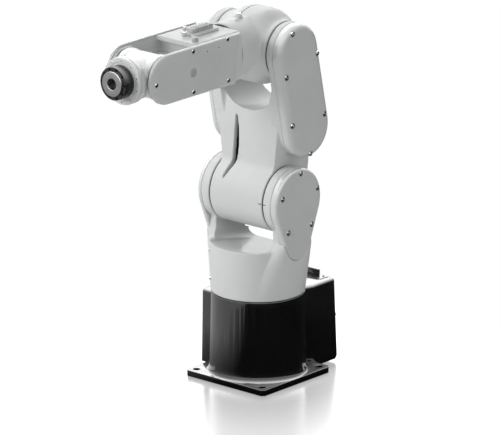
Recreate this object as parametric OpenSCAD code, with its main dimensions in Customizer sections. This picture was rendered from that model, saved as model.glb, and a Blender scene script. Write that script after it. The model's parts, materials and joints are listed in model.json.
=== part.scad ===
// Six-axis desktop industrial robot arm: black cast base, white painted arm.
// Millimetres, +Z up, +X to the robot's front, +Y to its left.
// The origin is the waist axis at the underside of the foot.

/* [Base] */
// How far the foot's sides stand out from the column
foot_margin = 9; // [6:0.5:20]
// Thickness of the foot plate
foot_t = 12; // [8:0.5:20]
// Chamfer on the foot's corners
foot_chamfer = 6; // [2:0.5:12]
// Distance of the foot bolts from the foot's sides
bolt_inset = 16; // [12:0.5:20]
// Diameter of the foot bolt holes
bolt_d = 14; // [8:0.5:16]
// How much smaller the column's radius is than the turret's
column_step = 0.5; // [0:0.5:3]
// Widening of the column's radius down to its flare
column_draft = 3; // [0:0.5:5]
// Height of the flare where the column meets the foot
flare_h = 22; // [8:1:30]
// Height of the column's top above the floor
column_top = 172; // [150:1:200]

/* [Base housings] */
// How far the rear housing stands out from the column
rear_out = 72; // [50:1:80]
// Width of the rear housing at its top
rear_top_w = 116; // [100:1:124]
// Width of the rear housing at the foot
rear_low_w = 132; // [126:1:144]
// Height of the rear housing's skirt above the floor
skirt_z = 5; // [3:0.5:10]
// How far the side housing stands out from the column
side_out = 21; // [12:0.5:30]
// Width of the side housing
side_w = 76; // [50:1:90]
// How far the side housing's top is below the rear housing's
side_drop = 9; // [0:1:40]
// How much wider the side housing is on each side at the foot
side_draft = 2; // [0:0.5:4]
// Rounding of the housings' edges
housing_round = 6; // [3:0.5:10]
// Width of the hood on the rear housing
hood_w = 48; // [30:1:80]
// Height of the hood
hood_h = 11; // [8:1:24]
// Thickness of the hood
hood_t = 4; // [3:0.5:20]

/* [Connector panel] */
// Width of the connector panel on the rear face
panel_w = 84; // [60:1:96]
// Height of the connector panel
panel_h = 100; // [80:1:130]
// Thickness of the connector panel
panel_t = 3; // [2:0.5:6]
// Spacing of the sockets and of the air inlets
socket_pitch = 40; // [32:1:50]
// Radius of a socket
socket_r = 14; // [8:0.5:15]
// Length of a socket
socket_len = 12; // [6:0.5:20]
// Radius of an air inlet
inlet_r = 4; // [3:0.5:6]
// Length of an air inlet
inlet_len = 14; // [8:0.5:20]
// Radius of the knob on the rear face
knob_r = 4; // [3:0.5:6]
// Length of the knob
knob_len = 8; // [4:0.5:12]

/* [Turret] */
// How far the turret's rim stands out past the ears
rim_over = 5; // [2:0.5:10]
// Widening of the turret's radius up to its rim
turret_flare = 1.5; // [0:0.5:4]
// Height of the window between the yoke's lip and the drum
window_h = 28; // [20:1:40]
// Radius of the yoke's inner corners
yoke_corner_r = 16; // [10:1:40]
// Fall of the yoke's floor towards the back, in degrees
yoke_slope = 8; // [2:1:12]
// Thickness of a yoke ear
ear_t = 16; // [12:0.5:20]
// Radius of the ears about the shoulder axis
ear_r = 66; // [58:0.5:72]
// Half width of an ear's neck
ear_neck = 40; // [30:0.5:48]
// Fillet where an ear's neck meets the rim
ear_fillet = 18; // [6:0.5:24]
// Height of the flat at the back above the turret's foot
back_flat_h = 30; // [10:1:50]
// Lean of the flat at the back, in degrees
back_flat_slope = 24; // [10:1:35]

/* [Shoulder covers] */
// Thickness of the left shoulder cover
left_shoulder_t = 16; // [10:0.5:20]
// Thickness of the right shoulder cover
right_shoulder_t = 10; // [8:0.5:16]
// Rounding of the shoulder covers' edges
shoulder_edge = 6; // [2:0.5:8]
// Height of the covers' lower end above the yoke's lip
cover_root = 12; // [4:1:30]
// Radius of the covers' lower end
cover_root_r = 34; // [24:0.5:40]
// Rounding of the covers' edge at their lower end
root_edge = 1; // [0.5:0.5:6]
// Width of the slit beside the covers, where they leave the ears
cover_slit = 2.5; // [0:0.5:4]
// Width of the turret's cheek round the covers' lower end
cheek_rim = 4; // [2:0.5:8]
// How far the covers stand out of the cheeks
cheek_step = 0.5; // [0.5:0.5:5]

/* [Upper arm] */
// Height of the shoulder axis above the floor
shoulder_z = 368; // [360:1:390]
// Distance from the shoulder axis to the elbow axis
arm_len = 295; // [285:1:320]
// Radius of the upper arm's drum
drum_r = 66; // [60:0.5:70]
// Half width of the drum and of the elbow
arm_half_w = 66; // [60:0.5:70]
// Distance from the arm's centre line to its front face
arm_front = 29; // [24:0.5:32]
// Fillet between the drum and the arm's front face
drum_fillet = 22; // [10:1:30]
// Distance from the arm's centre line to its back
arm_back = 74; // [66:0.5:78]
// Radius of the fork's ears about the elbow axis
fork_r = 57; // [54:0.5:66]
// Thickness of a fork ear
fork_t = 12; // [8:0.5:16]
// Depth of the fork's floor below the elbow axis
notch_drop = 123; // [110:1:140]
// Radius of the fork's inner corners
notch_r = 68; // [30:1:70]

/* [Arm covers] */
// Thickness of the left arm cover
left_cover_t = 21; // [14:0.5:26]
// Thickness of the right arm cover
right_cover_t = 13; // [10:0.5:20]
// Rounding of the left arm cover's edge
left_cover_edge = 11; // [4:0.5:13]
// Rounding of the right arm cover's edge
right_cover_edge = 8; // [4:0.5:9]
// Radius of the arm covers' lower end
cover_low_r = 58; // [50:0.5:62]
// Distance of the lower end behind the arm's centre line
cover_low_x = 32; // [20:0.5:36]
// Height of the lower end above the shoulder axis
cover_low_h = 141; // [136:1:165]

/* [Cable slot] */
// Height of the cable slot's lower tip above the shoulder axis
slot_low = 22; // [15:1:40]
// Distance of the slot's upper tip below the fork's floor
slot_gap = 2; // [1:0.5:20]
// Width of the cable slot at its middle
slot_w = 13; // [8:0.5:16]
// Distance of the slot right of the arm's centre line
slot_y = 37; // [20:1:42]
// Lean of the slot, in degrees
slot_lean = 5; // [0:1:10]
// Thickness of the wall that the slot is cut in
slot_wall = 11; // [6:0.5:14]
// Diameter of the cables behind the slot
cable_d = 8; // [5:0.5:9]

/* [Elbow] */
// Radius of the elbow housing at its widest
elbow_r = 74; // [70:0.5:78]
// Distance of the widest place left of the centre line
crown_y = 5; // [0:0.5:10]
// Radius of the collars at the elbow's ends
collar_r = 57; // [54:0.5:62]
// Length of the collars
collar_len = 8; // [4:0.5:12]
// Distance of the end cap's seam right of the centre line
cap_seam = 13; // [10:0.5:30]
// Height of the roll axis above the elbow axis
roll_offset = 9; // [0:0.5:14]
// Radius of the elbow's neck
neck_r = 54; // [48:0.5:56]
// How far the neck stands out of the housing
neck_len = 31; // [26:0.5:40]
// Diameter of the screw boss on top of the neck
boss_d = 15; // [8:0.5:18]

/* [Forearm] */
// Distance from the elbow axis to the wrist axis
forearm_len = 322; // [310:1:360]
// Half height of the forearm
forearm_half_h = 49; // [46:0.5:52]
// Thickness of the prongs
prong_t = 3.5; // [3:0.5:8]
// Thickness of the forearm's side covers
side_cover_t = 5; // [3:0.5:8]
// Rounding of the forearm's long edges
forearm_round = 12; // [4:0.5:20]
// How much more the covers' front ends are rounded than their edges
end_round = 3; // [0:0.5:5]
// Lean of the covers' back edge, as a length
back_lean = 14; // [0:0.5:20]
// Depth of the space between the prongs, from the wrist axis
pocket_depth = 88; // [84:1:96]
// Size of the ledge in that space
ledge = 18; // [10:0.5:24]
// Height of the lips over that space
lip_h = 10; // [6:0.5:14]
// Depth of the recess behind the lips
lip_deep = 8; // [4:0.5:12]

/* [Forearm fittings] */
// Distance of the service block from the forearm's back end
block_back = 24; // [10:1:30]
// Distance of the service block from the space between the prongs
block_front = 30; // [26:1:40]
// Width of the service block
block_w = 34; // [24:1:40]
// Height of the service block
block_h = 5; // [3:0.5:12]
// Border of the service block round its socket
socket_border = 8; // [4:0.5:10]
// Height of the socket above the block
socket_rise = 8; // [4:0.5:12]
// Number of slots across the socket
socket_slots = 6; // [3:1:8]
// Radius of the air fitting's hexagon
hex_r = 4.5; // [3:0.5:6]
// Height of the air fitting
fitting_h = 20; // [12:0.5:24]
// Radius of the round cap
cap_r = 6.5; // [4:0.5:8]
// Height of the round cap
cap_h = 8; // [2:0.5:10]

/* [Wrist] */
// Radius of the wrist's hub
hub_r = 42; // [36:0.5:43]
// Half width of the wrist between the prongs
hub_half_w = 44; // [40:0.5:48]
// Radius of the rims at the hub's ends
hub_rim_r = 43.5; // [43:0.5:47]
// Width of those rims
hub_rim_w = 12; // [6:0.5:16]
// Space between the wrist and a prong
prong_room = 6.5; // [5.5:0.5:8]
// Radius of the wrist's round face
face_r = 46; // [43:0.5:46]
// Thickness of the wrist's round face
face_t = 22; // [16:0.5:24]
// Gap between the hub's rims and the back of the round face
face_gap = 0.5; // [0.5:0.5:4]
// Chamfer behind the round face
face_chamfer = 4; // [2:0.5:6]

/* [Tool flange] */
// Radius of the flange ring
flange_r = 32; // [31:0.5:36]
// Length of the flange ring
flange_len = 23; // [20:0.5:32]
// Radius of the flange's inner disc
flange_disc_r = 24; // [20:0.5:25]
// How far the disc stands out of the ring
disc_proud = 4; // [1:0.5:6]
// Diameter of the flange's centre bore
flange_bore_d = 22; // [16:0.5:26]
// Diameter of the flange holes
flange_hole_d = 5; // [3:0.5:5.5]
// Depth of the flange holes
flange_hole_depth = 12; // [8:0.5:16]

/* [Hidden] */
$fn = 64;
eps = 0.5;

white = "gainsboro";
black = [0.1, 0.1, 0.1];
dark = [0.2, 0.2, 0.21];
grey = "darkgray";
steel = "silver";

// Gap at a seat between two pieces
seat = 0.3;
// Space between a drum and the ears beside it
side_gap = 6;
// Width of the seam between a drum and the bosses on those ears
seam = 2.5;
// Height of the dark seam between the base and the turret
waist_gap = 2;
// Room between the turret and the housings below it
turret_room = 5;
// Width of the seam between the elbow's neck and the forearm
roll_gap = 3;
// Seam filled by a seal at the wrist
seal_gap = 2.5;
// How far a seal is drawn in from the edge of its drum
seal_inset = 2;
// Width of the waist seal's ring
waist_seal_w = 18;
// Height of the turret's rim below the yoke's lip
rim_drop = 2;
// Thickness of the slices that a hull is made from
skin = 0.2;
// Sides of the circles that a hull is made from
hull_fn = 40;

yoke_gap = arm_half_w + side_gap;
yoke_out = yoke_gap + ear_t;
shoulder_r = yoke_out + rim_over;
turret_r = shoulder_r - turret_flare;
column_r = turret_r - column_step;
foot_w = 2 * (column_r + foot_margin);
bolt_spacing = foot_w - 2 * bolt_inset;
turret_z = column_top + waist_gap;
rear_reach = column_r + rear_out;
rear_top = turret_z - turret_room;
side_reach = column_r + side_out;
side_top = rear_top - side_drop;
panel_z = (rear_top + foot_t) / 2;
lip_z = shoulder_z - drum_r - window_h;
rim_z = lip_z - rim_drop;
elbow_z = shoulder_z + arm_len;
roll_z = elbow_z + roll_offset;
fork_gap = arm_half_w + side_gap;
fork_out = fork_gap + fork_t;
notch_z = elbow_z - notch_drop;
slot_z = shoulder_z + slot_low;
slot_len = notch_z - slot_gap - slot_z;
hollow_x = arm_front - slot_wall;
neck_x = elbow_r + neck_len;
forearm_x = neck_x + roll_gap;
forearm_top = roll_z + forearm_half_h;
prong_gap = hub_half_w + prong_room;
forearm_half_w = prong_gap + prong_t;
pocket_x = forearm_len - pocket_depth;
block_x = forearm_x + block_back;
block_len = pocket_x - block_front - block_x;
face_x = forearm_len + hub_rim_r + face_gap;
flange_x = face_x + face_t + seat;
flange_pcd = flange_r + flange_disc_r;

// Extrudes an outline, drawn as (X, Z), from y0 to y1
module along_y(y0, y1) {
  translate([0, y1, 0])
    rotate([90, 0, 0])
      linear_extrude(y1 - y0)
        children();
}

// Extrudes an outline, drawn as (Y, Z), from x0 to x1
module along_x(x0, x1) {
  translate([x0, 0, 0])
    rotate([90, 0, 90])
      linear_extrude(x1 - x0)
        children();
}

// The children as drawn, and again on the robot's right
module both_sides() {
  for (side = [0, 1])
    mirror([0, side, 0])
      children();
}

// Outline of a belt round two circles; its straight sides start a little inside them
module strap(p, r, q, s) {
  sink = 0.05;
  d = norm(q - p);
  heading = atan2(q[1] - p[1], q[0] - p[0]);
  spread = acos((r - s) / d);
  up = [cos(heading + spread), sin(heading + spread)];
  down = [cos(heading - spread), sin(heading - spread)];
  translate(p)
    circle(r);
  translate(q)
    circle(s);
  polygon([p + (r - sink) * up, p + (r - sink) * down, q + (s - sink) * down, q + (s - sink) * up]);
}

// Rectangle with round corners, centred
module round_rect(size, r) {
  square([size[0] - 2 * r, size[1]], center = true);
  square([size[0], size[1] - 2 * r], center = true);
  for (sx = [-1, 1], sy = [-1, 1])
    translate([sx * (size[0] / 2 - r), sy * (size[1] / 2 - r)])
      circle(r);
}

// Corner between two walls, filled to a fillet of radius r
module inner_fillet(r) {
  difference() {
    square(r);
    translate([r, r])
      circle(r);
  }
}

// A strap-shaped cover from y0 to y1; its outer edge is rounded by edge, and at its lower end by low_edge
module domed_strap(y0, y1, edge, low_edge, p, r, q, s) {
  steps = 4;
  hull() {
    along_y(y0, y1 - edge)
      strap(p, r, q, s, $fn = hull_fn);
    for (i = [1:steps]) {
      inset = 1 - cos(90 * i / steps);
      y = y1 - edge + edge * sin(90 * i / steps);
      along_y(y - skin, y)
        strap(p, r - edge * inset, q, s - low_edge * inset, $fn = hull_fn);
    }
  }
}

// The base column with its flare at the foot, grown by extra
module column(extra) {
  low_r = column_r + column_draft + extra;
  flare_w = foot_margin - column_draft - eps;
  flare = [for (a = [0:15:90]) [low_r + flare_w * (1 - sin(a)), foot_t + flare_h * (1 - cos(a))]];
  rotate_extrude($fn = 96)
    polygon(concat([[0, foot_t]], flare, [[column_r + extra, column_top], [0, column_top]]));
}

module base_casting() {
  half = foot_w / 2;
  cut = half - foot_chamfer;
  color(black) {
    linear_extrude(foot_t)
      difference() {
        polygon([[half, -cut], [half, cut], [cut, half], [-cut, half],
          [-half, cut], [-half, -cut], [-cut, -half], [cut, -half]]);
        for (sx = [-1, 1], sy = [-1, 1])
          translate([sx, sy] * bolt_spacing / 2)
            circle(d = bolt_d);
      }
    column(0);
  }
}

// Plan of the rear housing: half width w, drawn in by inset
module rear_plan(w, inset) {
  r = housing_round;
  hull()
    for (sy = [-1, 1]) {
      translate([inset + r - rear_reach, sy * (w - inset - r)])
        circle(r, $fn = 24);
      translate([-column_r - foot_margin, sy * (w - inset - r)])
        circle(r, $fn = 24);
      translate([2 * foot_margin - column_r, sy * (w - inset - r - foot_margin)])
        circle(r, $fn = 24);
    }
}

module rear_housing() {
  low = rear_low_w / 2;
  top = rear_top_w / 2;
  skirt_inset = 2;
  foot_back = foot_w / 2 + seat;
  color(black)
    difference() {
      hull() {
        translate([0, 0, foot_t])
          linear_extrude(skin)
            rear_plan(low, 0);
        for (a = [0:30:90])
          translate([0, 0, rear_top - housing_round * (1 - sin(a)) - skin])
            linear_extrude(skin)
              rear_plan(top, housing_round * (1 - cos(a)));
        translate([0, 0, skirt_z])
          linear_extrude(skin)
            intersection() {
              rear_plan(low, skirt_inset);
              translate([-rear_reach, -low])
                square([rear_reach - foot_back - skirt_inset, 2 * low]);
            }
      }
      column(seat);
      translate([-foot_back, -foot_w, -eps])
        cube([2 * foot_w, 2 * foot_w, foot_t + eps]);
    }
}

module side_housing() {
  r = housing_round;
  depth = side_reach - column_r / 2;
  color(black)
    difference() {
      translate([0, depth / 2 - side_reach, 0])
        hull() {
          translate([0, 0, foot_t])
            linear_extrude(skin)
              round_rect([side_w + 2 * side_draft, depth + side_draft], r, $fn = 24);
          for (a = [0:30:90])
            translate([0, 0, side_top - r * (1 - sin(a)) - skin])
              linear_extrude(skin)
                round_rect([side_w, depth] - [2, 2] * r * (1 - cos(a)), r, $fn = 24);
        }
      column(seat);
    }
}

module rear_hood() {
  front = housing_round + hood_t - rear_reach;
  color(dark)
    along_x(front - hood_t, front)
      translate([-hood_w / 2, rear_top])
        square([hood_w, hood_h]);
}

module connector_panel() {
  color(dark)
    along_x(-rear_reach - panel_t, -rear_reach)
      translate([0, panel_z])
        round_rect([panel_w, panel_h], housing_round);
}

module panel_sockets() {
  wall = socket_r / 3;
  back = -rear_reach - panel_t;
  color(steel)
    for (sy = [-1, 1])
      along_x(back - socket_len, back)
        translate([sy * socket_pitch / 2, panel_z + panel_h / 4])
          difference() {
            circle(socket_r);
            circle(socket_r - wall);
          }
}

module air_inlets() {
  nut = 1.5 * inlet_r;
  color(steel)
    for (sy = [-1, 1])
      translate([-rear_reach - panel_t, sy * socket_pitch / 2, panel_z - panel_h / 4])
        rotate([0, -90, 0]) {
          cylinder(r = nut, h = nut, $fn = 6);
          cylinder(r = inlet_r, h = inlet_len);
        }
}

module ground_stud() {
  color(black)
    translate([-rear_reach, panel_w / 2 + 2 * knob_r, panel_z])
      rotate([0, -90, 0])
        cylinder(r = knob_r, h = knob_len);
}

module waist_seal() {
  outer = column_r - waist_gap;
  color(dark)
    translate([0, 0, column_top])
      difference() {
        cylinder(r = outer, h = waist_gap - seat, $fn = 96);
        translate([0, 0, -eps])
          cylinder(r = outer - waist_seal_w, h = waist_gap + 2 * eps, $fn = 96);
      }
}

// Outline of a yoke ear, drawn as (X, Z): a disc on a neck that widens into the rim
module ear_outline() {
  translate([0, shoulder_z])
    circle(ear_r);
  translate([-ear_neck, rim_z - eps])
    square([2 * ear_neck, shoulder_z - rim_z]);
  for (side = [0, 1])
    mirror([side, 0])
      translate([ear_neck, rim_z - eps])
        inner_fillet(ear_fillet);
}

// Outline of the shoulder covers' seats, drawn as (X, Z)
module cover_seat() {
  strap([0, shoulder_z], ear_r + cover_slit, [0, lip_z + cover_root], cover_root_r + seat);
}

// Cheek of the turret: it carries a cover's lower end, and runs out into the turret's foot
module cheek(cover_t) {
  foot_h = 8;
  hull() {
    along_y(yoke_gap, yoke_out + cover_t - cheek_step)
      translate([0, lip_z + cover_root])
        circle(cover_root_r + cheek_rim, $fn = hull_fn);
    translate([0, 0, turret_z])
      intersection() {
        cylinder(r = turret_r, h = foot_h, $fn = 96);
        translate([-turret_r, 0, 0])
          cube([2 * turret_r, turret_r, foot_h]);
      }
  }
}

module turret_casting() {
  rise = shoulder_z - rim_z;
  spread = norm([ear_r, yoke_out]) - shoulder_r;
  color(white) {
    difference() {
      union() {
        translate([0, 0, turret_z])
          cylinder(r1 = turret_r, r2 = shoulder_r, h = rim_z - turret_z, $fn = 96);
        // the ears rise out of a cone that goes on from the rim
        intersection() {
          both_sides()
            along_y(yoke_gap, yoke_out)
              ear_outline();
          translate([0, 0, rim_z - eps])
            cylinder(r1 = shoulder_r, r2 = shoulder_r + 2 * spread, h = 2 * rise, $fn = 96);
        }
        cheek(left_shoulder_t);
        mirror([0, 1, 0])
          cheek(right_shoulder_t);
      }
      // the yoke's U, with its floor falling to the back
      translate([turret_r, 0, lip_z])
        rotate([0, -yoke_slope, 0])
          along_x(-3 * turret_r, turret_r)
            translate([0, 2 * turret_r])
              round_rect([2 * yoke_gap, 4 * turret_r], yoke_corner_r);
      // sloping flat at the back
      translate([-turret_r, 0, turret_z + back_flat_h])
        rotate([0, back_flat_slope, 0])
          translate([-turret_r, -2 * turret_r, 0])
            cube([turret_r, 4 * turret_r, 2 * turret_r]);
      // seats of the shoulder covers
      both_sides()
        along_y(yoke_out, 2 * yoke_out)
          cover_seat();
    }
    // bosses that the drum turns between
    both_sides()
      along_y(arm_half_w + seam, yoke_gap)
        translate([0, shoulder_z])
          circle(ear_r - eps);
  }
}

// A shoulder cover on the left, of thickness t
module shoulder_cover(t) {
  domed_strap(yoke_out, yoke_out + t, shoulder_edge, root_edge,
    [0, shoulder_z], ear_r, [0, lip_z + cover_root], cover_root_r);
}

module left_shoulder_cover() {
  color(white)
    shoulder_cover(left_shoulder_t);
}

module right_shoulder_cover() {
  color(white)
    mirror([0, 1, 0])
      shoulder_cover(right_shoulder_t);
}

// Side outline of the upper arm's body, drawn as (X, Z)
module arm_outline() {
  steps = 6;
  sink = 2;
  mid = [arm_front + drum_fillet,
    shoulder_z + sqrt(pow(drum_r + drum_fillet, 2) - pow(arm_front + drum_fillet, 2))];
  sweep = atan2(mid[1] - shoulder_z, mid[0]);
  fillet = [for (i = [0:steps]) mid - drum_fillet * [cos(sweep * i / steps), sin(sweep * i / steps)]];
  translate([0, shoulder_z])
    circle(drum_r);
  polygon(concat(fillet, [[0, shoulder_z], [sink - drum_r, shoulder_z - sink],
    [-arm_back, shoulder_z + drum_r], [-arm_back, elbow_z], [arm_front, elbow_z]]));
}

// Front outline of the upper arm's body, drawn as (Y, Z): it widens from the drum into the fork
module arm_front_outline() {
  low = shoulder_z - drum_r - eps;
  high = shoulder_z + drum_r;
  wide = fork_gap + fork_t / 2;
  polygon([[-arm_half_w, low], [arm_half_w, low], [arm_half_w, high], [wide, notch_z],
    [wide, elbow_z + eps], [-wide, elbow_z + eps], [-wide, notch_z], [-arm_half_w, high]]);
}

// Outline of the fork's ears and the arm covers, drawn as (X, Z)
module fork_outline() {
  strap([0, elbow_z], fork_r, [-cover_low_x, shoulder_z + cover_low_h], cover_low_r);
}

// The cable slot's lens, drawn as (Y, Z)
module slot_lens() {
  bulge_r = (pow(slot_len / 2, 2) + pow(slot_w, 2)) / (2 * slot_w);
  translate([-slot_y, slot_z + slot_len / 2])
    rotate(-slot_lean)
      intersection() {
        translate([slot_w - bulge_r, 0])
          circle(bulge_r, $fn = 128);
        translate([0, -slot_len])
          square(2 * slot_len);
      }
}

module upper_arm_casting() {
  overlap = 6;
  hollow = [2 * cable_d, 4 * cable_d, slot_len - cable_d];
  color(white) {
    difference() {
      union() {
        intersection() {
          along_y(-fork_out, fork_out)
            arm_outline();
          along_x(-2 * arm_back, 2 * drum_r)
            arm_front_outline();
        }
        both_sides()
          along_y(arm_half_w - overlap, fork_out)
            fork_outline();
      }
      along_x(-2 * arm_back, 2 * arm_back)
        translate([0, notch_z + arm_len / 2])
          round_rect([2 * fork_gap, arm_len], notch_r);
      along_x(hollow_x - eps, 2 * drum_r)
        slot_lens();
      // hollow behind the slot
      translate([hollow_x - hollow[0], -slot_y - hollow[1] / 2, slot_z + cable_d / 2])
        cube(hollow);
    }
    // bosses that the elbow turns between
    both_sides()
      along_y(arm_half_w + seam, fork_gap)
        translate([0, elbow_z])
          circle(collar_r - eps);
  }
}

module left_arm_cover() {
  color(white)
    domed_strap(fork_out, fork_out + left_cover_t, left_cover_edge, left_cover_edge,
      [0, elbow_z], fork_r, [-cover_low_x, shoulder_z + cover_low_h], cover_low_r);
}

module right_arm_cover() {
  color(white)
    mirror([0, 1, 0])
      domed_strap(fork_out, fork_out + right_cover_t, right_cover_edge, right_cover_edge,
        [0, elbow_z], fork_r, [-cover_low_x, shoulder_z + cover_low_h], cover_low_r);
}

module arm_cables() {
  pitch = 1.25 * cable_d;
  color(black)
    for (i = [-1, 0, 1])
      translate([hollow_x - cable_d, i * pitch - slot_y, slot_z + cable_d / 2])
        cylinder(d = cable_d, h = slot_len - cable_d, $fn = 32);
}

module shoulder_seals() {
  color(dark)
    both_sides()
      along_y(arm_half_w, arm_half_w + seam - seat)
        translate([0, shoulder_z])
          circle(drum_r - seal_inset);
}

// Radius of the elbow housing at a place y left of the centre line
function elbow_radius(y) =
  let (end = arm_half_w - collar_len)
  let (t = min(1, y < crown_y ? (crown_y - y) / (end + crown_y) : (y - crown_y) / (end - crown_y)))
  collar_r + (elbow_r - collar_r) * (1 + cos(180 * t * t)) / 2;

// The elbow housing turned about its axis, from y0 to y1, grown by extra
module elbow_turned(y0, y1, extra) {
  steps = 16;
  side = [for (i = [0:steps]) let (y = y0 + (y1 - y0) * i / steps) [elbow_radius(y) + extra, y]];
  translate([0, 0, elbow_z])
    rotate([-90, 0, 0])
      rotate_extrude($fn = 96)
        polygon(concat([[0, y0]], side, [[0, y1]]));
}

module elbow_casting() {
  boss_x = elbow_r - boss_d;
  boss_y = boss_d - cap_seam;
  color(white)
    difference() {
      union() {
        elbow_turned(-cap_seam, arm_half_w, 0);
        along_x(0, neck_x)
          translate([0, roll_z])
            circle(neck_r);
        // screw boss
        translate([boss_x, boss_y, roll_z])
          cylinder(d = boss_d, h = neck_r + boss_d / 2);
      }
      elbow_turned(-arm_half_w - eps, -cap_seam, seat);
    }
}

module elbow_cap() {
  color(white)
    elbow_turned(-arm_half_w, -cap_seam - seat, 0);
}

module elbow_seals() {
  color(dark)
    both_sides()
      along_y(arm_half_w, arm_half_w + seam - seat)
        translate([0, elbow_z])
          circle(collar_r - seal_inset);
}

module roll_seal() {
  color(dark)
    along_x(neck_x, forearm_x - seat)
      translate([0, roll_z])
        circle(neck_r - roll_gap);
}

module forearm_casting() {
  far = forearm_len + 2 * forearm_half_h;
  lip_in = forearm_half_h - lip_h;
  color(white) {
    difference() {
      intersection() {
        along_y(-forearm_half_w, forearm_half_w) {
          translate([forearm_x, roll_z - forearm_half_h])
            square([forearm_len - forearm_x, 2 * forearm_half_h]);
          translate([forearm_len, roll_z])
            circle(forearm_half_h);
        }
        along_x(forearm_x, far)
          translate([0, roll_z])
            round_rect([2 * forearm_half_w, 2 * forearm_half_h], forearm_round);
      }
      along_y(-prong_gap, prong_gap)
        polygon([[pocket_x, roll_z + far], [pocket_x, roll_z + lip_in],
          [pocket_x - lip_deep, roll_z + lip_in], [pocket_x - lip_deep, roll_z + ledge],
          [pocket_x + ledge, roll_z + ledge], [pocket_x + ledge, roll_z - ledge],
          [pocket_x - lip_deep, roll_z - ledge], [pocket_x - lip_deep, roll_z - lip_in],
          [pocket_x, roll_z - lip_in], [pocket_x, roll_z - far],
          [far, roll_z - far], [far, roll_z + far]]);
    }
    // bosses that the wrist turns in
    both_sides()
      along_y(hub_half_w + seal_gap, prong_gap)
        translate([forearm_len, roll_z])
          circle(hub_rim_r);
  }
}

// The left side cover; its front end is rounded more than its edges
module side_cover() {
  steps = 4;
  back_x = forearm_x + block_back / 3;
  hull()
    for (i = [0:steps]) {
      inset = side_cover_t * (1 - cos(90 * i / steps));
      y = forearm_half_w + skin + (side_cover_t - skin) * sin(90 * i / steps);
      high = forearm_half_h - inset;
      along_y(y - skin, y) {
        translate([forearm_len - end_round * inset, roll_z])
          circle(high, $fn = hull_fn);
        polygon([[back_x + inset, roll_z + high], [back_x + back_lean + inset, roll_z - high],
          [forearm_len - end_round * inset, roll_z - high],
          [forearm_len - end_round * inset, roll_z + high]]);
      }
    }
}

module left_forearm_cover() {
  color(white)
    side_cover();
}

module right_forearm_cover() {
  color(white)
    mirror([0, 1, 0])
      side_cover();
}

module service_block() {
  color(white)
    translate([block_x, -block_w / 2, forearm_top])
      cube([block_len, block_w, block_h]);
}

module service_socket() {
  size = [block_len - 2 * socket_border, block_w - 2 * socket_border, socket_rise];
  pitch = size[0] / (socket_slots + 1);
  color(grey)
    translate([block_x + socket_border, -size[1] / 2, forearm_top + block_h])
      difference() {
        cube(size);
        for (i = [1:socket_slots])
          translate([(i - 1 / 4) * pitch, -eps, size[2] / 2])
            cube([pitch / 2, size[1] + 2 * eps, size[2]]);
      }
}

module air_fitting() {
  color(steel)
    translate([pocket_x - block_front + 1.5 * hex_r, 0, forearm_top]) {
      cylinder(r = hex_r, h = fitting_h / 2, $fn = 6);
      cylinder(r = hex_r / 1.5, h = fitting_h);
    }
}

module valve_cap() {
  color(grey)
    translate([pocket_x - 2 * cap_r, forearm_half_w - forearm_round - cap_r, forearm_top])
      cylinder(r = cap_r, h = cap_h);
}

module wrist_casting() {
  color(white) {
    along_y(-hub_half_w, hub_half_w)
      translate([forearm_len, roll_z])
        circle(hub_r);
    both_sides()
      along_y(hub_half_w - hub_rim_w, hub_half_w)
        translate([forearm_len, roll_z])
          circle(hub_rim_r);
    along_x(forearm_len, face_x)
      translate([0, roll_z])
        intersection() {
          circle(hub_r);
          square([2 * hub_half_w, 2 * hub_r], center = true);
        }
  }
}

module wrist_face() {
  rim = face_chamfer / 2;
  color(white)
    translate([face_x, 0, roll_z])
      rotate([0, 90, 0])
        rotate_extrude($fn = 96)
          polygon([[0, 0], [face_r - face_chamfer, 0], [face_r, face_chamfer], [face_r, face_t - rim],
            [face_r - rim, face_t], [0, face_t]]);
}

module wrist_seals() {
  color(dark)
    both_sides()
      along_y(hub_half_w, hub_half_w + seal_gap - seat)
        translate([forearm_len, roll_z])
          circle(hub_rim_r - seal_inset);
}

module flange_ring() {
  holes = 10;
  color(black)
    translate([flange_x, 0, roll_z])
      rotate([90, 0, 90])
        difference() {
          cylinder(r = flange_r, h = flange_len, $fn = 96);
          translate([0, 0, flange_len - flange_hole_depth])
            cylinder(r = flange_disc_r + seat, h = flange_hole_depth + eps, $fn = 96);
          for (i = [0:holes - 1])
            rotate(360 * i / holes)
              translate([flange_pcd / 2, 0, flange_len - flange_hole_depth])
                cylinder(d = flange_hole_d, h = flange_hole_depth + eps, $fn = 32);
        }
}

module flange_disc() {
  disc_t = flange_hole_depth + disc_proud;
  color(steel)
    translate([flange_x + flange_len - flange_hole_depth, 0, roll_z])
      rotate([90, 0, 90])
        difference() {
          cylinder(r = flange_disc_r, h = disc_t, $fn = 96);
          translate([0, 0, -eps])
            cylinder(d = flange_bore_d, h = disc_t + 2 * eps);
        }
}

base_casting();
rear_housing();
side_housing();
rear_hood();
connector_panel();
panel_sockets();
air_inlets();
ground_stud();
waist_seal();
turret_casting();
left_shoulder_cover();
right_shoulder_cover();
upper_arm_casting();
left_arm_cover();
right_arm_cover();
arm_cables();
shoulder_seals();
elbow_casting();
elbow_cap();
elbow_seals();
roll_seal();
forearm_casting();
left_forearm_cover();
right_forearm_cover();
service_block();
service_socket();
air_fitting();
valve_cap();
wrist_casting();
wrist_face();
wrist_seals();
flange_ring();
flange_disc();
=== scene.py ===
"""Looks of the six-axis robot arm: paint, rounded castings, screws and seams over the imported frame."""
import json
import math

import bmesh
import bpy
from mathutils import Matrix, Vector


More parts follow.
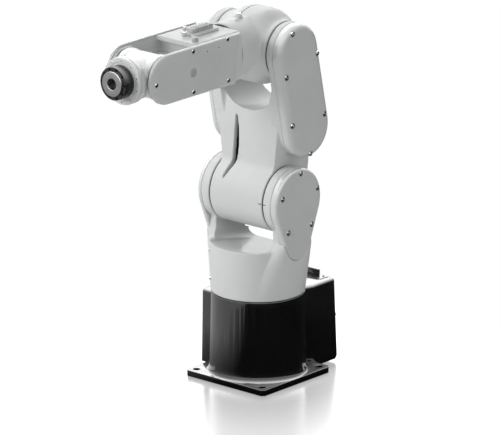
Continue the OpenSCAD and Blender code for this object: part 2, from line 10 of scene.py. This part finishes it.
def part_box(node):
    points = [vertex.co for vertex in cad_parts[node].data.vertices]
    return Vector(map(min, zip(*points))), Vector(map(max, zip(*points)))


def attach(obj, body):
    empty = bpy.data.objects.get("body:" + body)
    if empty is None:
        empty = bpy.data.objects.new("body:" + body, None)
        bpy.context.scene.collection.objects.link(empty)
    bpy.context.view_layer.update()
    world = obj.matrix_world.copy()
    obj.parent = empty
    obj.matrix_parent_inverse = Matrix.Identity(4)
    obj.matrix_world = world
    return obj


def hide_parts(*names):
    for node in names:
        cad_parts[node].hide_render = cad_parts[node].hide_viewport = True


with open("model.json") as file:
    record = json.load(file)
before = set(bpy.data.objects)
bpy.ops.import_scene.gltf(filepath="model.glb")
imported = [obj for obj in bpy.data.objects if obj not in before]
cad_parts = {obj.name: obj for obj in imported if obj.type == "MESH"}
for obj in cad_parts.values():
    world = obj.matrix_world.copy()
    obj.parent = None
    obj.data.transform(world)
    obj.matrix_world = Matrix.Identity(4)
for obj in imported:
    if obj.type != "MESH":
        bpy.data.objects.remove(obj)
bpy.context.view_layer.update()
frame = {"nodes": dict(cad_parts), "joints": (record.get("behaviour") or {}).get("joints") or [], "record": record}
nodes = frame["nodes"]

# Small sizes are written in mm and made metres by this
MM = 0.001

SLOT_OF = {s["node"]: s["material_slot"] for s in frame["record"]["subparts"]}
BODY_OF = {n: b for b, names in frame["record"]["behaviour"]["bodies"].items() for n in names}
AXIS_Z = {joint["name"]: joint["pos_m"][2] / MM for joint in frame["joints"]}

FRONT = (1, 0, 0)
LEFT = (0, 1, 0)
RIGHT = (0, -1, 0)
UP = (0, 0, 1)


# Camera

# The point it looks at, its angles from the front to the left and upwards, and its distance
AIM = Vector((0.0100, -0.0115, 0.31645))
AWAY = math.radians(41.0)
RISE = math.radians(17.15)
DISTANCE = 12.0
SENSOR_MM = 36
PHOTO_WIDTH_PX = 500
FOCAL_LENGTH_PX = 6240
TO_CAMERA = Vector((math.cos(RISE) * math.cos(AWAY), math.cos(RISE) * math.sin(AWAY), math.sin(RISE)))
camera_data = bpy.data.cameras.new("camera")
camera_data.sensor_width = SENSOR_MM
camera_data.lens = SENSOR_MM * FOCAL_LENGTH_PX / PHOTO_WIDTH_PX
camera = bpy.data.objects.new("camera", camera_data)
bpy.context.scene.collection.objects.link(camera)
camera.location = AIM + DISTANCE * TO_CAMERA
camera.rotation_euler = (-TO_CAMERA).to_track_quat("-Z", "Y").to_euler()
bpy.context.scene.camera = camera
bpy.context.scene.view_settings.view_transform = "Standard"


# Finishes

# Noise is mostly between these two values
NOISE_LOW = 0.3
NOISE_HIGH = 0.7


def finish(name):
    """A new material with its node tree and shader."""
    mat = bpy.data.materials.new(name)
    mat.use_nodes = True
    tree = mat.node_tree
    return mat, tree, tree.nodes["Principled BSDF"]


def noise(tree, scale, detail):
    """Noise on the piece's own coordinates, with scale in waves a metre."""
    where = tree.nodes.new("ShaderNodeTexCoord")
    tex = tree.nodes.new("ShaderNodeTexNoise")
    tex.inputs["Scale"].default_value = scale
    tex.inputs["Detail"].default_value = detail
    tree.links.new(where.outputs["Object"], tex.inputs["Vector"])
    return tex.outputs["Fac"]


def spread(tree, value, low, high, start=NOISE_LOW, end=NOISE_HIGH):
    """The value stretched from start..end to low..high."""
    node = tree.nodes.new("ShaderNodeMapRange")
    node.inputs["From Min"].default_value = start
    node.inputs["From Max"].default_value = end
    node.inputs["To Min"].default_value = low
    node.inputs["To Max"].default_value = high
    tree.links.new(value, node.inputs["Value"])
    return node.outputs["Result"]


def shade(tree, value, dark, light):
    """A colour between dark and light by a noise value."""
    ramp = tree.nodes.new("ShaderNodeValToRGB")
    low, high = ramp.color_ramp.elements
    low.position = NOISE_LOW
    low.color = (*dark, 1)
    high.position = NOISE_HIGH
    high.color = (*light, 1)
    tree.links.new(value, ramp.inputs["Fac"])
    return ramp.outputs["Color"]


def bump(tree, shader, value, strength, depth):
    """Relief from a value, depth in mm."""
    node = tree.nodes.new("ShaderNodeBump")
    node.inputs["Strength"].default_value = strength
    node.inputs["Distance"].default_value = depth * MM
    tree.links.new(value, node.inputs["Height"])
    tree.links.new(node.outputs["Normal"], shader.inputs["Normal"])


def uneven(tree, shader, dark, light, gloss, tone, wear, relief, strength, depth):
    """Tone, gloss and relief that change over noises, each noise given as its scale and detail."""
    tree.links.new(shade(tree, noise(tree, *tone), dark, light), shader.inputs["Base Color"])
    tree.links.new(spread(tree, noise(tree, *wear), *gloss), shader.inputs["Roughness"])
    bump(tree, shader, noise(tree, *relief), strength, depth)


def paint(name, dark, light, gloss, coat, peel, shine):
    """Sprayed paint: soft tone changes, orange peel and uneven gloss, under a clear coat."""
    mat, tree, shader = finish(name)
    uneven(tree, shader, dark, light, gloss, tone=(9, 4), wear=(26, 5), relief=(650, 2),
           strength=peel, depth=0.2)
    shader.inputs["Specular IOR Level"].default_value = shine
    weight, rough, ior = coat
    shader.inputs["Coat Weight"].default_value = weight
    shader.inputs["Coat Roughness"].default_value = rough
    shader.inputs["Coat IOR"].default_value = ior
    return mat


def moulded(name, dark, light, gloss, grain):
    """Moulded plastic or rubber with a fine grain."""
    mat, tree, shader = finish(name)
    uneven(tree, shader, dark, light, gloss, tone=(40, 4), wear=(120, 4), relief=(grain, 3),
           strength=0.25, depth=0.2)
    return mat


def bare_metal(name, dark, light, gloss, metallic=1.0):
    """Machined metal with fine pits."""
    mat, tree, shader = finish(name)
    uneven(tree, shader, dark, light, gloss, tone=(160, 5), wear=(420, 5), relief=(1500, 2),
           strength=0.15, depth=0.1)
    shader.inputs["Metallic"].default_value = metallic
    return mat


# Two tones and a range of roughness each; a coat is its weight, its roughness and its index
WHITE_TONES = (0.57, 0.58, 0.58), (0.61, 0.62, 0.62)
WHITE = paint("white_paint", *WHITE_TONES, gloss=(0.42, 0.52),
              coat=(0.30, 0.10, 1.5), peel=0.06, shine=0.12)
GLOSS_WHITE = paint("white_gloss_paint", *WHITE_TONES, gloss=(0.30, 0.38),
                    coat=(0.8, 0.05, 1.6), peel=0.04, shine=0.2)
BLACK = paint("black_paint", (0.0012, 0.0012, 0.0013), (0.0024, 0.0024, 0.0025), gloss=(0.34, 0.44),
              coat=(1.0, 0.06, 1.9), peel=0.03, shine=0.15)
PLASTIC = moulded("black_plastic", (0.008, 0.008, 0.008), (0.014, 0.014, 0.014), (0.42, 0.55), 900)
GREY = moulded("grey_plastic", (0.34, 0.35, 0.35), (0.42, 0.43, 0.43), (0.40, 0.50), 900)
RUBBER = moulded("seal_rubber", (0.012, 0.012, 0.012), (0.02, 0.02, 0.02), (0.55, 0.7), 1100)
JACKET = moulded("cable_jacket", (0.006, 0.006, 0.006), (0.012, 0.012, 0.012), (0.38, 0.5), 1400)
STEEL = bare_metal("screw_steel", (0.55, 0.56, 0.57), (0.70, 0.71, 0.72), (0.18, 0.30))
NICKEL = bare_metal("nickel", (0.60, 0.60, 0.58), (0.72, 0.72, 0.70), (0.2, 0.32))
BLACK_STEEL = bare_metal("black_steel", (0.030, 0.030, 0.031), (0.045, 0.045, 0.047), (0.24, 0.34), 0.6)
FLANGE_STEEL = bare_metal("flange_steel", (0.34, 0.345, 0.345), (0.42, 0.425, 0.425), (0.3, 0.42))

SLOT_FINISH = {"white_paint": WHITE, "black_paint": BLACK, "black_plastic": PLASTIC, "grey_plastic": GREY,
               "nickel": NICKEL, "seal_rubber": RUBBER, "cable_jacket": JACKET,
               "black_steel": BLACK_STEEL, "flange_steel": FLANGE_STEEL}


# Making pieces

def linked(name, bm):
    """A mesh object from a bmesh."""
    mesh = bpy.data.meshes.new(name)
    bm.to_mesh(mesh)
    bm.free()
    obj = bpy.data.objects.new(name, mesh)
    bpy.context.scene.collection.objects.link(obj)
    return obj


def smooth(obj, soften):
    """Smooth shading with edges sharper than soften degrees kept."""
    for polygon in obj.data.polygons:
        polygon.use_smooth = True
    obj.data.set_sharp_from_angle(angle=math.radians(soften))


def piece(name, bm, mat, body, soften=35):
    """A finished piece from a bmesh, riding on a body."""
    obj = linked(name, bm)
    obj.data.materials.append(mat)
    smooth(obj, soften)
    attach(obj, body)
    return obj


def node_mesh(node):
    """A merged copy of a CAD node's mesh, with its flats made whole."""
    bm = bmesh.new()
    bm.from_mesh(nodes[node].data)
    bmesh.ops.remove_doubles(bm, verts=bm.verts, dist=1e-6)
    bmesh.ops.dissolve_limit(bm, angle_limit=math.radians(0.4), verts=bm.verts, edges=bm.edges)
    return bm


def eased(node, width, corner=40, mat=None):
    """A CAD node again with its edges sharper than corner degrees eased by a round of width mm."""
    bm = node_mesh(node)
    sharp = [e for e in bm.edges if len(e.link_faces) == 2
             and e.calc_face_angle(0) > math.radians(corner)]
    bmesh.ops.bevel(bm, geom=sharp, offset=width * MM, offset_type="OFFSET", affect="EDGES", segments=3,
                    profile=0.5, material=-1, clamp_overlap=True)
    slot = SLOT_OF[node]
    obj = piece(node + "_eased", bm, mat or SLOT_FINISH[slot], BODY_OF[node])
    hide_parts(node)


def cast(node, voxel, rounds, mat=WHITE, pockets=None):
    """A CAD node again as a casting with softly rounded edges, and pockets cut into it; voxel in mm."""
    bm = node_mesh(node)
    bmesh.ops.triangulate(bm, faces=bm.faces)
    obj = piece(node + "_cast", bm, mat, BODY_OF[node])
    grid = obj.modifiers.new("grid", "REMESH")
    grid.mode = "VOXEL"
    grid.voxel_size = voxel * MM
    ease = obj.modifiers.new("ease", "SMOOTH")
    ease.factor = 0.5
    ease.iterations = rounds
    if pockets:
        cut = obj.modifiers.new("pockets", "BOOLEAN")
        cut.operation = "DIFFERENCE"
        cut.solver = "MANIFOLD"
        cut.object = pockets
    finished = obj.evaluated_get(bpy.context.evaluated_depsgraph_get())
    mesh = bpy.data.meshes.new_from_object(finished)
    obj.modifiers.clear()
    obj.data = mesh
    smooth(obj, 40)
    if pockets:
        bpy.data.objects.remove(pockets)
    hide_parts(node)


def put(bm, verts, place, axis):
    """Turns new points from +Z to an axis and moves them to a place in mm."""
    turn = Vector(UP).rotation_difference(Vector(axis)).to_matrix().to_4x4()
    bmesh.ops.transform(bm, matrix=Matrix.Translation(Vector(place) * MM) @ turn, verts=verts)


def pins(spots):
    """Round cutters; each spot has a place, an axis, a radius and how far it goes in and out, in mm."""
    bm = bmesh.new()
    for place, axis, radius, inward, outward in spots:
        made = bmesh.ops.create_cone(bm, cap_ends=True, segments=32, radius1=radius * MM,
                                     radius2=radius * MM, depth=(inward + outward) * MM)["verts"]
        bmesh.ops.translate(bm, verts=made, vec=(0, 0, (outward - inward) / 2 * MM))
        put(bm, made, place, axis)
    return linked("cutter", bm)


def ring_edges(verts):
    """The edges of a fresh circle."""
    return list({e for v in verts for e in v.link_edges})


def raised(bm, loop, lift, size):
    """Extrudes an edge loop up by lift, scales it by size and gives the new loop."""
    grown = bmesh.ops.extrude_edge_only(bm, edges=loop)["geom"]
    verts = [g for g in grown if isinstance(g, bmesh.types.BMVert)]
    bmesh.ops.translate(bm, verts=verts, vec=(0, 0, lift))
    bmesh.ops.scale(bm, verts=verts, vec=(size, size, 1))
    rim = set(verts)
    return [g for g in grown if isinstance(g, bmesh.types.BMEdge) and set(g.verts) <= rim]


def cap_screw(bm, place, axis, radius, height):
    """Adds a socket head screw whose seat is at place, in mm."""
    first = set(bm.verts)
    top = height * MM
    shoulder = 0.84 * top
    foot = bmesh.ops.create_circle(bm, cap_ends=True, segments=24, radius=radius * MM)["verts"]
    loop = raised(bm, ring_edges(foot), lift=shoulder, size=1)
    loop = raised(bm, loop, lift=top - shoulder, size=0.86)
    socket = bmesh.ops.create_circle(bm, segments=6, radius=radius / 2 * MM)["verts"]
    bmesh.ops.translate(bm, verts=socket, vec=(0, 0, top))
    socket_loop = ring_edges(socket)
    bmesh.ops.bridge_loops(bm, edges=loop + socket_loop)
    socket_loop = raised(bm, socket_loop, lift=-top / 2, size=1)
    bmesh.ops.edgeloop_fill(bm, edges=socket_loop)
    new = [v for v in bm.verts if v not in first]
    bmesh.ops.recalc_face_normals(bm, faces=list({f for v in new for f in v.link_faces}))
    put(bm, new, place, axis)


def screws(name, body, places, axis, radius, height, mat=STEEL):
    """One piece with a screw at each place."""
    bm = bmesh.new()
    for place in places:
        cap_screw(bm, place, axis, radius, height)
    piece(name, bm, mat, body)


def cover(node, side, places, rounds=5, voxel=1.5, hole=6.0, deep=7, head=4.8, tall=6.8, extra=()):
    """A cover with a pocket and a screw at each place (X, Z), and extra pockets (X, Z, radius, depth)."""
    low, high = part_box(node)
    face = (high if side == LEFT else low)[1] / MM
    clear = 30
    spots = [((x, face, z), side, hole, deep, clear) for x, z in places]
    spots += [((x, face, z), side, radius, depth, clear) for x, z, radius, depth in extra]
    cast(node, voxel, rounds, GLOSS_WHITE, pins(spots))
    seat = face - math.copysign(deep, face)
    screws(node + "_screws", BODY_OF[node], [(x, seat, z) for x, z in places], side, head, tall)


def turned(name, profile, place, axis, mat, body, steps=96, soften=35):
    """A piece turned from (radius, height) points in mm that end on the axis or close into a ring."""
    bm = bmesh.new()
    verts = [bm.verts.new((r * MM, 0, h * MM)) for r, h in profile]
    edges = [bm.edges.new(pair) for pair in zip(verts, verts[1:])]
    bmesh.ops.spin(bm, geom=verts + edges, cent=(0, 0, 0), axis=UP, angle=2 * math.pi, steps=steps,
                   use_merge=True)
    bmesh.ops.remove_doubles(bm, verts=bm.verts, dist=1e-6)
    bmesh.ops.recalc_face_normals(bm, faces=bm.faces)
    put(bm, bm.verts, place, axis)
    return piece(name, bm, mat, body, soften)


def bar(name, centre, size, ease, mat, body):
    """A small bar with eased edges, its centre and size in mm."""
    bm = bmesh.new()
    bmesh.ops.create_cube(bm, size=1)
    bmesh.ops.scale(bm, verts=bm.verts, vec=Vector(size) * MM)
    bmesh.ops.bevel(bm, geom=bm.edges[:], offset=ease * MM, offset_type="OFFSET", affect="EDGES",
                    segments=3, profile=0.5, material=-1)
    bmesh.ops.translate(bm, verts=bm.verts, vec=Vector(centre) * MM)
    piece(name, bm, mat, body)


# Base

eased("base_casting", 1.0)
eased("rear_housing", 0.8, corner=35)
eased("side_housing", 0.8, corner=35)
eased("rear_hood", 1.0, mat=BLACK)
eased("connector_panel", 0.8)
eased("panel_sockets", 0.8)
eased("air_inlets", 0.5)
eased("ground_stud", 1.2)
REAR_SCREW_SUNK = 0.6
rear_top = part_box("rear_housing")[1][2] / MM
rear_seat = rear_top - REAR_SCREW_SUNK
bar("rear_top_slot", (-143, 45, rear_top), (24, 3.6, 0.8), 0.3, PLASTIC, "base")
screws("rear_top_screws", "base", [(-153, 36, rear_seat), (-136, 37, rear_seat)], UP,
       radius=1.8, height=1.4, mat=PLASTIC)

# Turret

cast("turret_casting", voxel=1.7, rounds=2)
SHOULDER_SCREWS = [(-6, 424), (47, 384), (30, 313), (-56, 384), (-38, 315)]
cover("left_shoulder_cover", LEFT, SHOULDER_SCREWS)
cover("right_shoulder_cover", RIGHT, SHOULDER_SCREWS)
SIDE_SCREW_ANGLE = math.radians(-44)
SIDE_SCREW_SEAT_R = 92
SIDE_SCREW_HEIGHTS = (255, 197)
outward = Vector((math.cos(SIDE_SCREW_ANGLE), math.sin(SIDE_SCREW_ANGLE), 0))
side_places = [SIDE_SCREW_SEAT_R * outward + Vector((0, 0, z)) for z in SIDE_SCREW_HEIGHTS]
screws("turret_screws", "turret", side_places, outward, radius=2.8, height=2.2)

# Upper arm

cast("upper_arm_casting", voxel=1.9, rounds=2)
ARM_SCREWS = [(20, 705), (37, 623), (19, 524), (-34, 457), (-74, 528), (-53, 652)]
cover("left_arm_cover", LEFT, ARM_SCREWS)
cover("right_arm_cover", RIGHT, ARM_SCREWS)

# Zero marks across the shoulder's seam

MARK_Z = 371
bar("shoulder_mark_drum", (65.9, 61.5, MARK_Z), (0.8, 7, 1.6), 0.2, RUBBER, "upper_arm")
bar("shoulder_mark_yoke", (65.5, 74, MARK_Z), (0.8, 8, 1.6), 0.2, RUBBER, "turret")

# Elbow

cast("elbow_casting", voxel=1.6, rounds=6)
cast("elbow_cap", voxel=1.6, rounds=4)
ELBOW_Z = AXIS_Z["elbow"]
# A dark rubber ring sunk in the seam between the elbow casting and its cap, as painted shade: a dark thing that
# stands in for the shade in the seam's gap
SEAM_SHADE_INNER_R = 60
SEAM_SHADE_HALF_W = 0.9
SEAM_SHADE_SUNK = 0.4
SEAM_HALF_GAP = 0.15
seam_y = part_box("elbow_cap")[1][1]
seam_r = max(math.hypot(v.co.x, v.co.z - ELBOW_Z * MM) for v in nodes["elbow_cap"].data.vertices
             if v.co.y > seam_y - MM)
seam_shade_r = seam_r / MM - SEAM_SHADE_SUNK
seam_shade_profile = [(SEAM_SHADE_INNER_R, -SEAM_SHADE_HALF_W), (seam_shade_r, -SEAM_SHADE_HALF_W), (seam_shade_r, SEAM_SHADE_HALF_W),
                  (SEAM_SHADE_INNER_R, SEAM_SHADE_HALF_W), (SEAM_SHADE_INNER_R, -SEAM_SHADE_HALF_W)]
turned("elbow_seam_shade_ring", seam_shade_profile, (0, seam_y / MM + SEAM_HALF_GAP, ELBOW_Z), LEFT, RUBBER, "elbow")
LUG_SEAT = (59, 2, 732.5)
screws("elbow_lug_screw", "elbow", [LUG_SEAT], UP, radius=4.6, height=4)

# Forearm

cast("forearm_casting", voxel=1.5, rounds=5)
FOREARM_SCREWS = [(154, 715), (251.6, 711.4), (151.5, 633.5), (250.5, 632.4), (354.7, 667.3)]
FOREARM_FIT = {"rounds": 3, "voxel": 1.3, "hole": 4.6, "deep": 3.8, "head": 3.7, "tall": 3.4}
PLUG_X = 252.6
PLUG_Z = 670.4
PLUG_POCKET_R = 8.6
PLUG_POCKET_DEEP = 2.5
PLUG_GAP = 0.1
SMALL_HOLES = [(212.8, 703.2), (180.2, 704.3)]
SMALL_HOLE_R = 1.7
SMALL_HOLE_DEEP = 3
left_pockets = [(PLUG_X, PLUG_Z, PLUG_POCKET_R, PLUG_POCKET_DEEP)]
left_pockets += [(x, z, SMALL_HOLE_R, SMALL_HOLE_DEEP) for x, z in SMALL_HOLES]
cover("left_forearm_cover", LEFT, FOREARM_SCREWS, **FOREARM_FIT, extra=left_pockets)
cover("right_forearm_cover", RIGHT, FOREARM_SCREWS, **FOREARM_FIT)
plug_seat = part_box("left_forearm_cover")[1][1] / MM - PLUG_POCKET_DEEP + PLUG_GAP
plug_profile = [(0, 0), (8.2, 0), (8.2, 0.9), (7.4, 1.6), (3.2, 1.6), (2.8, 0.6), (0, 0.6)]
turned("forearm_plug", plug_profile, (PLUG_X, plug_seat, PLUG_Z), LEFT, GREY, "forearm",
       steps=48)
eased("service_block", 1.2)
eased("service_socket", 0.5)
eased("air_fitting", 0.5)
eased("valve_cap", 1.2)

# Wrist and flange

cast("wrist_casting", voxel=1.3, rounds=6, mat=GLOSS_WHITE)
WRIST_Z = AXIS_Z["wrist_bend"]
FACE_R = 46
RING_OUTER_R = 36.5
RING_INNER_R = 33.1
RING_DEEP = 1
RING_DRAFT = 0.3
face_low, face_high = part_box("wrist_face")
face_back = face_low[0] / MM
face_front = face_high[0] / MM
rim = face_front - face_back
# From the back's chamfer, over the groove of the seam and the eased rim, to a shallow ring in the front
face_profile = [(0, 0), (FACE_R - 4.5, 0), (FACE_R - 0.8, 3.2), (FACE_R, 5), (FACE_R, rim - 8.2),
                (FACE_R - 0.5, rim - 7.6), (FACE_R - 1.4, rim - 7.6), (FACE_R - 1.4, rim - 6.6),
                (FACE_R - 0.5, rim - 6.6), (FACE_R, rim - 6), (FACE_R, rim - 2.4),
                (FACE_R - 0.6, rim - 0.8), (FACE_R - 2, rim), (RING_OUTER_R, rim),
                (RING_OUTER_R - RING_DRAFT, rim - RING_DEEP), (RING_INNER_R + RING_DRAFT, rim - RING_DEEP),
                (RING_INNER_R, rim), (0, rim)]
wrist_face = turned("wrist_face_dressed", face_profile, (face_back, 0, WRIST_Z), FRONT, GLOSS_WHITE,
                    "wrist", steps=128, soften=30)
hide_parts("wrist_face")
FACE_SCREWS = 10
FACE_SCREW_SUNK = 1.2
SCREW_CIRCLE_R = 40.2
face_seat = face_front - FACE_SCREW_SUNK
face_angles = [2 * math.pi * (i + 0.5) / FACE_SCREWS for i in range(FACE_SCREWS)]
face_places = [(face_seat, SCREW_CIRCLE_R * math.cos(a), WRIST_Z + SCREW_CIRCLE_R * math.sin(a))
               for a in face_angles]
screws("wrist_face_screws", "wrist", face_places, FRONT, radius=1.9, height=1.5)
eased("flange_ring", 0.6)
eased("flange_disc", 0.8)

# The nodes that stay as they are take their slot's finish

for node, obj in nodes.items():
    obj.data.materials.clear()
    obj.data.materials.append(SLOT_FINISH[SLOT_OF[node]])


# Studio

# Where the studio is bright: behind the robot; and the floor's painted glow, seen only in reflections, is
# brightest to its right
BEHIND = Vector((-math.cos(AWAY), -math.sin(AWAY), 0))
REFLECTED_GLOW_SIDE = Vector((0.26, -0.966, 0))
# The floor's half width and how far it lies under the foot, in metres
FLOOR_SIZE = 30
FLOOR_DROP = 0.0005
# What the camera sees of the floor: its glow, and the share of it, with the rest left to light and shadow
FLOOR_GLOW = 1.03
GLOW_SHARE = 0.95
AMBIENT = 0.30
LIGHT_AIM = (0, 0, 0.4)


def level_towards(tree, vector, side, start, end, low, high):
    """A level that rises from low to high as a vector goes further to one side."""
    facing = tree.nodes.new("ShaderNodeVectorMath")
    facing.operation = "DOT_PRODUCT"
    facing.inputs[1].default_value = side
    tree.links.new(vector, facing.inputs[0])
    return spread(tree, facing.outputs["Value"], low, high, start, end)


def maths(tree, operation, first, second):
    """One maths node; each input is a socket or a number."""
    node = tree.nodes.new("ShaderNodeMath")
    node.operation = operation
    for socket, value in zip(node.inputs, (first, second)):
        if isinstance(value, (int, float)):
            socket.default_value = value
        else:
            tree.links.new(value, socket)
    return node.outputs["Value"]


def mixed(tree, share, first, second):
    """Two shaders mixed by a share."""
    node = tree.nodes.new("ShaderNodeMixShader")
    tree.links.new(share, node.inputs["Fac"])
    tree.links.new(first, node.inputs[1])
    tree.links.new(second, node.inputs[2])
    return node.outputs["Shader"]


def ray_kinds(tree):
    """Whether a ray comes from the camera, and whether it was mirrored or passed through."""
    path = tree.nodes.new("ShaderNodeLightPath")
    mirrored = maths(tree, "MAXIMUM", path.outputs["Is Glossy Ray"], path.outputs["Is Transmission Ray"])
    return path.outputs["Is Camera Ray"], mirrored


def floor_finish():
    """White studio floor that keeps the robot's shadow, with a gloss that fades away from the robot; in
    reflections it shows a painted glow, bright to the robot's right and nearly dark elsewhere.
    """
    mat, tree, shader = finish("studio_floor")
    shader.inputs["Base Color"].default_value = (0.93, 0.93, 0.93, 1)
    shader.inputs["Roughness"].default_value = 0.6
    shader.inputs["Specular IOR Level"].default_value = 0.0
    seen, mirrored = ray_kinds(tree)
    where = tree.nodes.new("ShaderNodeTexCoord")
    # Painted light: for mirrored rays the floor glows, bright towards one side and nearly dark elsewhere, while
    # the camera sees it evenly white
    level = level_towards(tree, where.outputs["Object"], REFLECTED_GLOW_SIDE,
                          start=0.05, end=0.40, low=0.01, high=0.6)
    glow = tree.nodes.new("ShaderNodeEmission")
    strength = maths(tree, "MAXIMUM", maths(tree, "MULTIPLY", seen, FLOOR_GLOW), level)
    tree.links.new(strength, glow.inputs["Strength"])
    share = maths(tree, "ADD", maths(tree, "MULTIPLY", seen, GLOW_SHARE), mirrored)
    lit = mixed(tree, share, shader.outputs["BSDF"], glow.outputs["Emission"])
    reach = tree.nodes.new("ShaderNodeVectorMath")
    reach.operation = "LENGTH"
    tree.links.new(where.outputs["Object"], reach.inputs[0])
    polish = spread(tree, reach.outputs["Value"], low=0.60, high=0.0, start=0.16, end=0.57)
    sheen = tree.nodes.new("ShaderNodeBsdfGlossy")
    sheen.inputs["Roughness"].default_value = 0.2
    top = mixed(tree, maths(tree, "MULTIPLY", seen, polish), lit, sheen.outputs["BSDF"])
    tree.links.new(top, tree.nodes["Material Output"].inputs["Surface"])
    return mat


def studio_floor():
    """The floor that the robot stands on."""
    bm = bmesh.new()
    bmesh.ops.create_grid(bm, x_segments=1, y_segments=1, size=FLOOR_SIZE)
    bmesh.ops.translate(bm, verts=bm.verts, vec=(0, 0, -FLOOR_DROP))
    floor = linked("floor", bm)
    floor.data.materials.append(floor_finish())


def studio_world():
    """Plain light all round; what is glossy mirrors a bright ceiling and a bright wall behind the robot."""
    world = bpy.data.worlds.new("studio")
    bpy.context.scene.world = world
    world.use_nodes = True
    tree = world.node_tree
    where = tree.nodes.new("ShaderNodeTexCoord")
    parts = tree.nodes.new("ShaderNodeSeparateXYZ")
    tree.links.new(where.outputs["Generated"], parts.inputs["Vector"])
    ceiling = spread(tree, parts.outputs["Z"], low=0.0, high=4.5, start=0.2, end=0.75)
    wall = level_towards(tree, where.outputs["Generated"], BEHIND, start=0.3, end=0.9, low=1.0, high=2.2)
    seen, mirrored = ray_kinds(tree)
    glossy = maths(tree, "MULTIPLY", maths(tree, "ADD", wall, ceiling), mirrored)
    plain = maths(tree, "MULTIPLY", maths(tree, "SUBTRACT", 1.0, mirrored), AMBIENT)
    strength = maths(tree, "MAXIMUM", maths(tree, "ADD", glossy, plain), seen)
    background = tree.nodes["Background"]
    background.inputs["Color"].default_value = (1, 1, 1, 1)
    tree.links.new(strength, background.inputs["Strength"])


def softbox(name, place, size, power, mirrored):
    """A rectangular soft light; mirrored says whether glossy pieces show it."""
    data = bpy.data.lights.new(name, "AREA")
    data.shape = "RECTANGLE"
    data.size, data.size_y = size
    data.energy = power
    obj = bpy.data.objects.new(name, data)
    bpy.context.scene.collection.objects.link(obj)
    obj.location = place
    obj.rotation_euler = (Vector(LIGHT_AIM) - Vector(place)).to_track_quat("-Z", "Y").to_euler()
    obj.visible_glossy = mirrored


studio_floor()
studio_world()
softbox("key_light", (2.9, -2.0, 1.9), size=(2.2, 2.2), power=102, mirrored=False)
softbox("top_light", (-0.1, -1.7, 2.8), size=(0.25, 1.6), power=7, mirrored=True)
softbox("fill_light", (0.9, 3.2, 1.2), size=(1.6, 1.6), power=22, mirrored=False)
